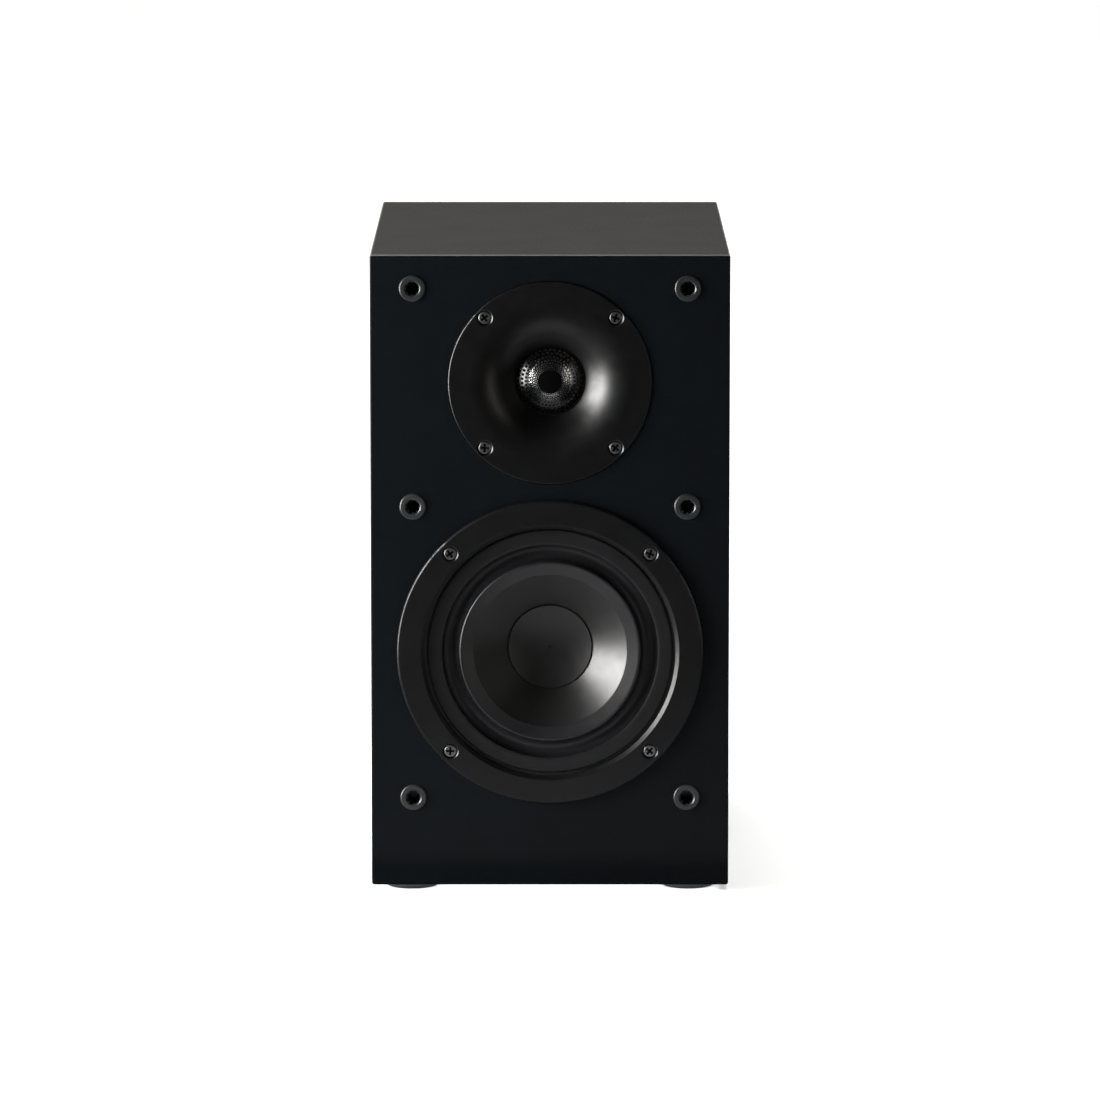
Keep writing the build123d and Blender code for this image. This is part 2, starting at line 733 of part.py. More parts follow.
def tweeter_back_plate():
    front = TWEETER_PLATE_DEPTH + 0.3
    back = TWEETER_PLATE_DEPTH + TWEETER_PLATE_THICK + TWEETER_MAGNET_THICK
    outline = Polyline(
        (4, front),
        (DOME_RADIUS - 0.5, front),
        (DOME_RADIUS - 0.5, back),
        (33, back),
        (33, back + 4),
        (4, back + 4),
        close=True,
    )
    return turned(outline, TWEETER_Z)


TWEETER_BACK = TWEETER_PLATE_DEPTH + TWEETER_PLATE_THICK + TWEETER_MAGNET_THICK + 4


def tweeter_rear_chamber():
    """Closed cup behind the vented pole."""
    outline = FilletPolyline(
        (27, TWEETER_BACK),
        (27, TWEETER_BACK + 18),
        (0, TWEETER_BACK + 18),
        (0, TWEETER_BACK + 16),
        (25, TWEETER_BACK + 16),
        (25, TWEETER_BACK),
        radius=[0, 3, 0, 0, 1, 0],
        close=True,
    )
    return turned(outline, TWEETER_Z)


def tweeter_terminals():
    """Small board with two solder tabs beside the rear chamber."""
    y = FRONT + TWEETER_BACK
    z = TWEETER_Z - 30
    board = block(-8, 8, y, y + 1.2, z - 2.4, z + 2.4)
    return board + [block(x - 1.2, x + 1.2, y + 1.2, y + 8, z - 0.4, z + 0.4) for x in (-5, 5)]


# ---------------------------------------------------------------- terminals


def cup_screw_points():
    x, z = CUP_SCREWS
    return [(sx * x, CUP_Z + sz * z) for sx in (-1, 1) for sz in (-1, 1)]


def cup_pocket(grow, deep):
    """Tapered pocket that opens to the rear, grown by grow on every side."""
    width, height = (side + 2 * grow for side in CUP_MOUTH)
    profile = Plane.XZ.offset(-(REAR + CUP_PROUD)) * RectangleRounded(width, height, 5 + grow)
    return Pos(0, 0, CUP_Z) * extrude(profile, deep, taper=5)


def terminal_cup():
    width, height = CUP_FLANGE
    flange = Plane.XZ.offset(-(REAR + CUP_GASKET)) * RectangleRounded(width, height, 7)
    plate = Pos(0, 0, CUP_Z) * extrude(flange, -(CUP_PROUD - CUP_GASKET))
    plate = fillet(plate.faces().sort_by(Axis.Y)[-1].edges(), 0.8)
    body = plate + cup_pocket(CUP_WALL, CUP_PROUD + CUP_DEPTH + CUP_WALL)
    body -= cup_pocket(0, CUP_PROUD + CUP_DEPTH)
    for x, z in cup_screw_points():
        body -= rod(SCREW_HOLE + 0.2, REAR - 1, REAR + CUP_PROUD + 1, x, z)
        body -= rod(SINK_RADIUS, REAR + CUP_PROUD - CUP_SCREW_SEAT, REAR + CUP_PROUD + 1, x, z)
    for x in (-POST_PITCH / 2, POST_PITCH / 2):
        body -= rod(2.1, REAR - CUP_DEPTH - CUP_WALL - 1, REAR, x, CUP_Z)
    return body


def terminal_gasket():
    width, height = CUP_FLANGE
    sheet = Plane.XZ.offset(-REAR) * RectangleRounded(width - 1, height - 1, 6.5)
    inner = tuple(side + 2 * CUP_WALL + 0.8 for side in CUP_MOUTH)
    sheet -= Plane.XZ.offset(-REAR) * RectangleRounded(*inner, 6)
    seal = Pos(0, 0, CUP_Z) * extrude(sheet, -CUP_GASKET)
    for x, z in cup_screw_points():
        seal -= rod(SCREW_HOLE + 0.2, REAR - 1, REAR + 3, x, z)
    return seal


def terminal_screws():
    """Screws driven from the rear, so each is turned about to point inwards."""
    seat = REAR + CUP_PROUD - CUP_SCREW_SEAT
    screw = Rot(0, 0, 180) * cross_screw(15)
    return Part() + [Pos(x, seat, z) * screw for x, z in cup_screw_points()]


def post_stud(x):
    """Brass stud: threaded barrel with the plug's bore and a wire hole, and a tail through the cup."""
    floor = REAR - CUP_DEPTH
    collar_top = floor + 3
    tip = floor + POST_LENGTH
    body = rod(POST_STUD, collar_top, tip, x, CUP_Z)
    body = chamfer(body.edges().group_by(Axis.Y)[-1], 0.4)
    body += rod(2.0, floor - 12, collar_top, x, CUP_Z)
    body -= rod(POST_BORE, collar_top + 2.7, tip + 1, x, CUP_Z)
    body -= Pos(x, collar_top + 1.5, CUP_Z) * Cylinder(0.9, 20)
    for k in range(7):
        groove = tip - 1.6 - 1.5 * k
        body -= ring(POST_STUD + 1, POST_STUD - 0.25, groove - 0.3, groove + 0.3, x, CUP_Z)
    return body


def post_collar(x):
    """Insulating base with a shallow dished top."""
    floor = REAR - CUP_DEPTH
    outline = FilletPolyline(
        (2.05, 0),
        (POST_COLLAR, 0),
        (POST_COLLAR, 2.6),
        (6.6, 3.0),
        (2.05, 3.0),
        radius=[0, 0, 0.6, 0.5, 0],
        close=True,
    )
    return turned(outline, CUP_Z, x, floor)


def cap_start():
    return REAR - CUP_DEPTH + 3.3


def post_insert(x):
    """Threaded brass sleeve inside the cap, with the thread shown as its running bore."""
    start = cap_start()
    sleeve = ring(POST_INSERT, POST_STUD + RUN_GAP, start, start + 11, x, CUP_Z)
    return chamfer(sleeve.edges().group_by(Axis.Y)[0], 0.2)


def post_cap(x):
    """Turning cap with grip flutes and a hole for the plug in its end."""
    start = cap_start()
    end = start + POST_CAP_LENGTH
    mouth = 2.7
    outline = FilletPolyline(
        (POST_INSERT + RUN_GAP, 0),
        (POST_CAP, 0),
        (POST_CAP, POST_CAP_LENGTH),
        (mouth, POST_CAP_LENGTH),
        (mouth, POST_CAP_LENGTH - 2.2),
        (POST_INSERT + RUN_GAP, POST_CAP_LENGTH - 2.2),
        radius=[0, 0.5, 1.2, 0.6, 0, 0],
        close=True,
    )
    cap = turned(outline, CUP_Z, x, start)
    for k in range(14):
        fx, fz = around(CUP_Z, POST_CAP + 0.35, 360 / 14 * k)
        cap -= rod(0.75, start + 2.2, end - 2.4, x + fx, fz)
    return cap


def hexagon_nut(x, y_from, thick, across_flats):
    """Hexagon nut about a post's tail."""
    profile = Plane.XZ.offset(-y_from) * RegularPolygon(across_flats / 2, 6, major_radius=False)
    nut = Pos(x, 0, CUP_Z) * extrude(profile, -thick)
    return nut - rod(2.05, y_from - 1, y_from + thick + 1, x, CUP_Z)


def post_nuts():
    """One hexagon nut on each post, inside the cabinet."""
    y_to = REAR - CUP_DEPTH - CUP_WALL
    return Part() + [hexagon_nut(x, y_to - 3.2, 3.2, 7.0) for x in post_places()]


def post_places():
    return (-POST_PITCH / 2, POST_PITCH / 2)


def solder_tags():
    """A solder tag and a second nut's washer, behind the nuts."""
    y_to = REAR - CUP_DEPTH - CUP_WALL - 3.2
    tags = []
    for x in post_places():
        eye = rod(4.0, y_to - 0.8, y_to, x, CUP_Z)
        tail = block(x - 1.6, x + 1.6, y_to - 0.8, y_to, CUP_Z - 13, CUP_Z)
        tags.append(eye + tail - rod(2.05, y_to - 2, y_to + 1, x, CUP_Z))
    return Part() + tags


# ---------------------------------------------------------------- crossover and wires


def crossover_board():
    board = block(-BOARD_X, BOARD_X, BOARD_FRONT, BOARD_BACK, BOARD_Z, BOARD_Z + BOARD_THICK)
    for x, y in board_screw_points():
        board -= Pos(x, y, BOARD_Z) * Cylinder(SCREW_HOLE, 10)
    return board


def board_screw_points():
    xs = (-BOARD_X + 5, BOARD_X - 5)
    ys = (BOARD_FRONT + 5, BOARD_BACK - 5)
    return [(x, y) for x in xs for y in ys]


def board_standoffs():
    length = BOARD_Z - INNER_FLOOR
    sleeve = Cylinder(4, length) - Cylinder(SCREW_HOLE, length + 2)
    return Part() + [Pos(x, y, INNER_FLOOR + length / 2) * sleeve for x, y in board_screw_points()]


def board_screws():
    top = BOARD_Z + BOARD_THICK
    upright = [Pos(x, y, top) * Rot(-90, 0, 0) * cross_screw(9.2) for x, y in board_screw_points()]
    return Part() + upright


def coil(outer, inner, width):
    """Air-cored inductor: winding and its bobbin hole, along Z."""
    body = Cylinder(outer, width) - Cylinder(inner, width + 2)
    return fillet(rims(body, inner + 1), 1.2)


def inductors():
    """A large coil for the woofer and a small one for the tweeter, at right angles."""
    top = BOARD_Z + BOARD_THICK
    large = Pos(-26, 18, top + 9) * coil(19, 8, 18)
    small = Pos(26, 14, top + 13) * Rot(90, 0, 0) * coil(13, 6, 12)
    return Part() + [large, small]


def capacitors():
    top = BOARD_Z + BOARD_THICK
    sizes = [(0, 50, 9.0, 34), (0, 67, 6.5, 27)]
    cans = []
    for x, y, radius, length in sizes:
        can = Cylinder(radius, length)
        can = fillet(can.edges().filter_by(GeomType.CIRCLE), 0.8)
        cans.append(Pos(x, y, top + radius) * Rot(0, 90, 0) * can)
    return Part() + cans


def resistor():
    top = BOARD_Z + BOARD_THICK
    body = block(15, 37, 34, 38.5, top, top + 9.5)
    return chamfer(body.edges().filter_by(Axis.X), 0.6)


TWEETER_WIRE_X = -56.0
TWEETER_WIRE_Y = 40.0
WIRE_RADIUS = 1.1


def wire(points, bend):
    """Insulated wire along straight runs joined by arcs."""
    route = FilletPolyline(*points, radius=bend)
    start = Plane(origin=route @ 0, z_dir=route % 0)
    return sweep(start * Circle(WIRE_RADIUS), path=route)


def input_wires():
    """From the solder tags down to the board's rear edge."""
    y = REAR - CUP_DEPTH - CUP_WALL - 3.2 - 0.8 - WIRE_RADIUS
    top = BOARD_Z + BOARD_THICK
    wires = []
    for x in post_places():
        z = CUP_Z - 11
        points = [(x, y, z), (x, y - 8, z), (x, y - 18, z - 14), (x, BOARD_BACK - 3, top + 12)]
        points.append((x, BOARD_BACK - 3, top))
        wires.append(wire(points, 5))
    return wires


def woofer_wires():
    """From the board's front edge to the woofer's strip."""
    top = BOARD_Z + BOARD_THICK
    y_end = FRONT + STRIP_DEPTH + 8
    wires = []
    for x in (-STRIP_TAB_X, STRIP_TAB_X):
        points = [(x, BOARD_FRONT + 4, top), (x, BOARD_FRONT + 4, top + 14)]
        points += [(x, BOARD_FRONT - 30, STRIP_Z - 1.5), (x, y_end, STRIP_Z - 1.5)]
        wires.append(wire(points, 6))
    return wires


def tweeter_wires():
    """From the board up through the brace's wire hole to the tweeter's tabs."""
    top = BOARD_Z + BOARD_THICK
    y_end = FRONT + TWEETER_BACK + 7
    z_end = TWEETER_Z - 31.5
    wires = []
    for side in (-1, 1):
        x = TWEETER_WIRE_X + 2.4 * side
        y = TWEETER_WIRE_Y
        start_x = -44.0 + 2.4 * side
        points = [(start_x, y, top), (start_x, y, top + 16), (x, y, top + 34), (x, y, z_end + 6 - 3 * side)]
        points += [(5.0 * side, y - 50, z_end), (5.0 * side, y_end, z_end)]
        wires.append(wire(points, 7))
    return wires


# ---------------------------------------------------------------- all pieces

for panel_name, panel in cabinet_panels().items():
    save(panel_name, panel)
save("front_baffle", front_baffle())
save("rear_panel", rear_panel())
save("window_brace", window_brace())
save("acoustic_lining", acoustic_lining())
save("rubber_feet", rubber_feet())
save("grille_sockets", grille_sockets())
save("port_tube", port_tube())

woofer_points = diagonal_points(WOOFER_Z, WOOFER_PCD)
save("woofer_trim_ring", woofer_trim_ring())
save("woofer_screws", screw_group(woofer_points, FRONT - RING_PROUD + SINK_DEPTH, 16))
save("woofer_clamp_ring", woofer_clamp_ring())
save("woofer_basket", woofer_basket())
save("woofer_gasket", woofer_gasket())
save("woofer_surround", woofer_surround())
save("woofer_cone", woofer_cone())
save("woofer_dust_cap", woofer_dust_cap())
save("woofer_former", woofer_former())
save("woofer_winding", woofer_winding())
save("woofer_spider", woofer_spider())
save("woofer_top_plate", woofer_top_plate())
save("woofer_magnet", woofer_magnet())
save("woofer_back_plate", woofer_back_plate())
save("woofer_terminal_strip", woofer_terminal_strip())
save("woofer_tinsel_leads", woofer_tinsel_leads())

tweeter_points = diagonal_points(TWEETER_Z, TWEETER_PCD)
save("tweeter_faceplate", tweeter_faceplate())
save("tweeter_screws", screw_group(tweeter_points, FRONT - FACE_PROUD + SINK_DEPTH, 14))
save("tweeter_gasket", tweeter_gasket())
save("tweeter_mesh", tweeter_mesh())
save("tweeter_centre_disc", tweeter_centre_disc())
save("tweeter_dome", tweeter_dome())
save("tweeter_suspension", tweeter_suspension())
save("tweeter_former", tweeter_former())
save("tweeter_winding", tweeter_winding())
save("tweeter_front_plate", tweeter_front_plate())
save("tweeter_magnet", tweeter_magnet())
save("tweeter_back_plate", tweeter_back_plate())
save("tweeter_rear_chamber", tweeter_rear_chamber())
save("tweeter_terminals", tweeter_terminals())

save("terminal_cup", terminal_cup())
save("terminal_gasket", terminal_gasket())
save("terminal_screws", terminal_screws())
save("post_studs", Part() + [post_stud(x) for x in post_places()])
save("post_collars", Part() + [post_collar(x) for x in post_places()])
for colour, post_x in zip(("black", "red"), post_places()):
    save(f"{colour}_post_insert", post_insert(post_x))
    save(f"{colour}_post_cap", post_cap(post_x))
save("post_nuts", post_nuts())
save("solder_tags", solder_tags())

save("crossover_board", crossover_board())
save("board_standoffs", board_standoffs())
save("board_screws", board_screws())
save("inductors", inductors())
save("capacitors", capacitors())
save("resistor", resistor())
save("internal_wires", Part() + input_wires() + woofer_wires() + tweeter_wires())
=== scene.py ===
import json
import math

import bmesh
import bpy
import numpy as np
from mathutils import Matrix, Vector, noise


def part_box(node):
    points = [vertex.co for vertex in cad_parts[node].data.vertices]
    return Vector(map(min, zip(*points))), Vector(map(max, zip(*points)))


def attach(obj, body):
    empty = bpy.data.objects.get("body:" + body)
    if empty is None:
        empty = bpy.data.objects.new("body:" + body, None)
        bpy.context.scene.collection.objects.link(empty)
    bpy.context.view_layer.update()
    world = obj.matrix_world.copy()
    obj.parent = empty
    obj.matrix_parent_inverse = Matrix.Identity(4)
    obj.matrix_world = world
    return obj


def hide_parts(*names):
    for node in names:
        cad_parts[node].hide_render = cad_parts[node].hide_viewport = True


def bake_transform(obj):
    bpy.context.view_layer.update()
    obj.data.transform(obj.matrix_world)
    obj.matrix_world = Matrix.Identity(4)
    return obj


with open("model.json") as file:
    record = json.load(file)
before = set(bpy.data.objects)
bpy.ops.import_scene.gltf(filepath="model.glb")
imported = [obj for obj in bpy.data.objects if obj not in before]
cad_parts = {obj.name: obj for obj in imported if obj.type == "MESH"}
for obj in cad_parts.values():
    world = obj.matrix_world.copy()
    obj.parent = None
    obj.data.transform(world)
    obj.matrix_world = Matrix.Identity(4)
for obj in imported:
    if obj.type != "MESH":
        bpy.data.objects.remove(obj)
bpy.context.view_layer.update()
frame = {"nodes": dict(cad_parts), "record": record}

# A bookshelf speaker in metres: +Z up, the front faces -Y. Places come from the CAD nodes' boxes.
MM = 0.001
nodes = frame["nodes"]


def centre_of(node):
    low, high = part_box(node)
    return (low + high) / 2


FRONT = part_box("front_baffle")[0].y
FLOOR_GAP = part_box("front_baffle")[0].z
WOOFER_Z = centre_of("woofer_trim_ring").z
TWEETER_Z = centre_of("tweeter_faceplate").z


# ---------------------------------------------------------------- camera, floor and lights

CAMERA_BACK = 3.183       # from the baffle to the camera
CAMERA_RISE = 0.6315      # above the cabinet's underside
CAMERA_PITCH = 8.40       # degrees below level
CAMERA_LENS = 222.3       # millimetres, on a 36 mm sensor

WHITE = (1.0, 1.0, 1.0)
KEY_WHITE = (1.0, 0.99, 0.98)
WARM_WHITE = (1.0, 0.95, 0.90)


def make_camera():
    data = bpy.data.cameras.new("camera")
    data.sensor_width = 36
    data.lens = CAMERA_LENS
    data.clip_end = 60
    camera = bpy.data.objects.new("camera", data)
    camera.location = (0, FRONT - CAMERA_BACK, FLOOR_GAP + CAMERA_RISE)
    camera.rotation_euler = (math.radians(90 - CAMERA_PITCH), 0, 0)
    bpy.context.scene.collection.objects.link(camera)
    bpy.context.scene.camera = camera


def softbox(name, place, aim, width, height, power, colour):
    """A rectangular area light at place, turned to face aim."""
    data = bpy.data.lights.new(name, "AREA")
    data.shape = "RECTANGLE"
    data.size = width
    data.size_y = height
    data.energy = power
    data.color = colour
    light = bpy.data.objects.new(name, data)
    light.location = place
    light.rotation_euler = (Vector(aim) - Vector(place)).to_track_quat("-Z", "Y").to_euler()
    light.visible_camera = False
    bpy.context.scene.collection.objects.link(light)


def make_floor():
    mesh = bpy.data.meshes.new("floor")
    half, near, far = 14.0, -9.0, 20.0
    corners = [(-half, near, 0), (half, near, 0), (half, far, 0), (-half, far, 0)]
    mesh.from_pydata(corners, [], [(0, 1, 2, 3)])
    floor = bpy.data.objects.new("floor", mesh)
    bpy.context.scene.collection.objects.link(floor)
    material, _, shader = new_material("studio_floor")
    shader.inputs["Base Color"].default_value = (0.975, 0.98, 0.99, 1)
    shader.inputs["Roughness"].default_value = 0.9
    shader.inputs["Specular IOR Level"].default_value = 0.0
    mesh.materials.append(material)
    floor.visible_glossy = False


def make_sun():
    """Even light straight down, from a little behind, for the floor and the top."""
    data = bpy.data.lights.new("sky_panel", "SUN")
    data.energy = 3.35
    data.angle = math.radians(50)
    data.color = (1.0, 0.99, 0.96)
    sun = bpy.data.objects.new("sky_panel", data)
    sun.rotation_euler = (math.radians(-14), 0, 0)
    sun.visible_glossy = False
    bpy.context.scene.collection.objects.link(sun)


def around_front(azimuth, distance, height):
    """A place in front of the baffle; azimuth 0 is straight ahead and positive is to the left."""
    angle = math.radians(azimuth)
    return (-distance * math.sin(angle), FRONT - distance * math.cos(angle), height)


def floor_panel(name, distance, width, depth, power):
    """A flat panel just above the floor in front of the speaker, shining straight up."""
    place = around_front(0, distance, 0.012)
    above = around_front(0, distance, 1)
    softbox(name, place, above, width, depth, power, WHITE)


def make_lights():
    make_sun()
    top_front = (0, FRONT, 0.31)
    low_front = (0, FRONT, 0.16)
    middle = (0, 0, 0.15)
    softbox("key_strip", around_front(78, 0.9, 0.31), top_front, 0.25, 0.62, 19, KEY_WHITE)
    softbox("key_near", around_front(64, 0.9, 0.31), top_front, 0.3, 0.56, 11, KEY_WHITE)
    softbox("fill_right", around_front(-50, 1.8, 0.4), low_front, 0.35, 1.2, 3.2, WARM_WHITE)
    floor_panel("table_bounce", 0.065, 0.9, 0.11, 0.18)
    floor_panel("floor_patch", 0.175, 0.2, 0.09, 0.06)
    under = FRONT + 0.07
    softbox("gap_light", (0, under, 0.0027), (0, under, 0), 0.16, 0.14, 0.09, WHITE)
    softbox("rim_right", (1.8, 0.35, 0.7), middle, 1.0, 1.4, 22, WHITE)
    softbox("back_left", (-1.6, 2.2, 0.9), middle, 1.4, 1.4, 30, WHITE)
    softbox("back_right", (1.6, 2.2, 0.9), middle, 1.4, 1.4, 30, WHITE)


def make_world():
    """Dim even surroundings; the camera itself sees them as white."""
    world = bpy.data.worlds.new("studio")
    world.use_nodes = True
    tree = world.node_tree
    tree.nodes.clear()
    seen = tree.nodes.new("ShaderNodeBackground")
    seen.inputs["Color"].default_value = (1, 1, 1, 1)
    seen.inputs["Strength"].default_value = 1.0
    dim = tree.nodes.new("ShaderNodeBackground")
    dim.inputs["Color"].default_value = (0.92, 0.96, 1.0, 1)
    dim.inputs["Strength"].default_value = 0.015
    path = tree.nodes.new("ShaderNodeLightPath")
    mix = tree.nodes.new("ShaderNodeMixShader")
    out = tree.nodes.new("ShaderNodeOutputWorld")
    tree.links.new(path.outputs["Is Camera Ray"], mix.inputs["Fac"])
    tree.links.new(dim.outputs[0], mix.inputs[1])
    tree.links.new(seen.outputs[0], mix.inputs[2])
    tree.links.new(mix.outputs[0], out.inputs["Surface"])
    bpy.context.scene.world = world
    bpy.context.scene.view_settings.view_transform = "Standard"


# ---------------------------------------------------------------- material helpers


def new_material(name):
    material = bpy.data.materials.new(name)
    material.use_nodes = True
    tree = material.node_tree
    shader = next(n for n in tree.nodes if n.type == "BSDF_PRINCIPLED")
    return material, tree, shader


def coordinates(tree, scale=(1, 1, 1)):
    """Object coordinates, stretched by scale."""
    source = tree.nodes.new("ShaderNodeTexCoord")
    mapping = tree.nodes.new("ShaderNodeMapping")
    mapping.inputs["Scale"].default_value = scale
    tree.links.new(source.outputs["Object"], mapping.inputs["Vector"])
    return mapping.outputs["Vector"]


def noise_field(tree, vector, size, detail=3.0, rough=0.5, distortion=0.0):
    """Noise whose blobs are about size metres across."""
    node = tree.nodes.new("ShaderNodeTexNoise")
    node.inputs["Scale"].default_value = 1 / size
    node.inputs["Detail"].default_value = detail
    node.inputs["Roughness"].default_value = rough
    node.inputs["Distortion"].default_value = distortion
    tree.links.new(vector, node.inputs["Vector"])
    return node.outputs["Fac"]


def ramp(tree, field, stops):
    """Colour ramp through (position, colour) stops."""
    node = tree.nodes.new("ShaderNodeValToRGB")
    elements = node.color_ramp.elements
    while len(elements) < len(stops):
        elements.new(0.5)
    for element, (position, colour) in zip(elements, stops):
        element.position = position
        element.color = (*colour, 1)
    tree.links.new(field, node.inputs["Fac"])
    return node.outputs["Color"]


def span(tree, field, low, high):
    """A noise field, mapped from its usual range to low..high."""
    node = tree.nodes.new("ShaderNodeMapRange")
    node.inputs["From Min"].default_value = 0.3
    node.inputs["From Max"].default_value = 0.7
    node.inputs["To Min"].default_value = low
    node.inputs["To Max"].default_value = high
    tree.links.new(field, node.inputs["Value"])
    return node.outputs["Result"]


def add_bump(tree, shader, field, depth):
    """Bump of the given depth in metres, on top of any bump already there."""
    node = tree.nodes.new("ShaderNodeBump")
    node.inputs["Strength"].default_value = 1.0
    node.inputs["Distance"].default_value = depth
    tree.links.new(field, node.inputs["Height"])
    socket = shader.inputs["Normal"]
    if socket.links:
        tree.links.new(socket.links[0].from_socket, node.inputs["Normal"])
    tree.links.new(node.outputs["Normal"], socket)


def shade(colour, factor):
    return tuple(channel * factor for channel in colour)


def moulded(name, colour, rough, specular=0.5, grain=0.35 * MM, depth=0.01 * MM, vary=0.12):
    """Moulded or painted surface: faint cloudiness, fine grain and uneven gloss."""
    material, tree, shader = new_material(name)
    vector = coordinates(tree)
    cloud = noise_field(tree, vector, 14 * MM, 4)
    fine = noise_field(tree, vector, grain, 2)
    stops = [(0.3, shade(colour, 1 - vary)), (0.7, shade(colour, 1 + vary))]
    tree.links.new(ramp(tree, cloud, stops), shader.inputs["Base Color"])
    gloss = noise_field(tree, vector, 5 * MM, 5)
    tree.links.new(span(tree, gloss, rough * 0.93, rough * 1.07), shader.inputs["Roughness"])
    shader.inputs["Specular IOR Level"].default_value = specular
    add_bump(tree, shader, fine, depth)
    return material


def vinyl(name, colour, rough, specular, along):
    """Black vinyl wrap: fine pores drawn out along one axis, on a soft mottled ground."""
    material, tree, shader = new_material(name)
    stretch = [1.0, 1.0, 1.0]
    stretch[along] = 0.12
    straight = coordinates(tree)
    drawn = coordinates(tree, stretch)
    mottle = noise_field(tree, straight, 30 * MM, 5, 0.6)
    pores = noise_field(tree, drawn, 0.9 * MM, 4, 0.6)
    fine = noise_field(tree, straight, 0.3 * MM, 2)
    stops = [(0.3, shade(colour, 0.91)), (0.7, shade(colour, 1.09))]
    tree.links.new(ramp(tree, mottle, stops), shader.inputs["Base Color"])
    tree.links.new(span(tree, pores, rough * 0.92, rough * 1.08), shader.inputs["Roughness"])
    shader.inputs["Specular IOR Level"].default_value = specular
    add_bump(tree, shader, pores, 0.012 * MM)
    add_bump(tree, shader, fine, 0.006 * MM)
    return material


def metal(name, colour, rough, brush=None):
    """Bare or plated metal: optional brush lines along one axis, and slight staining."""
    material, tree, shader = new_material(name)
    stretch = [1.0, 1.0, 1.0]
    if brush is not None:
        stretch[brush] = 0.04
    drawn = coordinates(tree, stretch)
    straight = coordinates(tree)
    stain = noise_field(tree, straight, 6 * MM, 4)
    lines = noise_field(tree, drawn, 0.25 * MM, 3)
    stops = [(0.3, shade(colour, 0.94)), (0.7, shade(colour, 1.06))]
    tree.links.new(ramp(tree, stain, stops), shader.inputs["Base Color"])
    tree.links.new(span(tree, lines, rough * 0.85, rough * 1.15), shader.inputs["Roughness"])
    shader.inputs["Metallic"].default_value = 1.0
    add_bump(tree, shader, lines, 0.006 * MM)
    return material


def woven(name, colour, pitch, rough=0.85):
    """Cloth with crossing threads along X and Z."""
    material, tree, shader = new_material(name)
    vector = coordinates(tree)
    bands = []
    for direction in ("X", "Z"):
        wave = tree.nodes.new("ShaderNodeTexWave")
        wave.bands_direction = direction
        wave.inputs["Scale"].default_value = 1 / (pitch * 20 / math.tau)
        wave.inputs["Distortion"].default_value = 0.6
        tree.links.new(vector, wave.inputs["Vector"])
        bands.append(wave.outputs["Fac"])
    weave = tree.nodes.new("ShaderNodeMath")
    weave.operation = "MULTIPLY"
    tree.links.new(bands[0], weave.inputs[0])
    tree.links.new(bands[1], weave.inputs[1])
    stops = [(0.0, shade(colour, 0.55)), (0.6, shade(colour, 1.1))]
    tree.links.new(ramp(tree, weave.outputs[0], stops), shader.inputs["Base Color"])
    shader.inputs["Roughness"].default_value = rough
    add_bump(tree, shader, weave.outputs[0], 0.08 * MM)
    return material


def wound(name, colour, wire, direction):
    """Enamelled wire laid in close turns along one direction."""
    material, tree, shader = new_material(name)
    vector = coordinates(tree)
    wave = tree.nodes.new("ShaderNodeTexWave")
    wave.bands_direction = direction
    wave.inputs["Scale"].default_value = 1 / (wire * 20 / math.tau)
    wave.inputs["Distortion"].default_value = 0.25
    tree.links.new(vector, wave.inputs["Vector"])
    stops = [(0.0, shade(colour, 0.35)), (0.45, colour), (1.0, shade(colour, 1.2))]
    tree.links.new(ramp(tree, wave.outputs["Fac"], stops), shader.inputs["Base Color"])
    shader.inputs["Metallic"].default_value = 1.0
    shader.inputs["Roughness"].default_value = 0.35
    add_bump(tree, shader, wave.outputs["Fac"], 0.1 * MM)
    return material


def fibrous(name, colour, size, depth):
    """Felt, foam or raw fibreboard: matted fibres or cells in several tones."""
    material, tree, shader = new_material(name)
    vector = coordinates(tree)
    fibres = noise_field(tree, vector, size, 8, 0.7, 1.5)
    clumps = noise_field(tree, vector, size * 14, 4, 0.6)
    stops = [(0.25, shade(colour, 0.6)), (0.5, colour), (0.75, shade(colour, 1.3))]
    tree.links.new(ramp(tree, fibres, stops), shader.inputs["Base Color"])
    shader.inputs["Roughness"].default_value = 0.95
    add_bump(tree, shader, clumps, depth)
    add_bump(tree, shader, fibres, depth * 0.5)
    return material


# ---------------------------------------------------------------- materials by slot


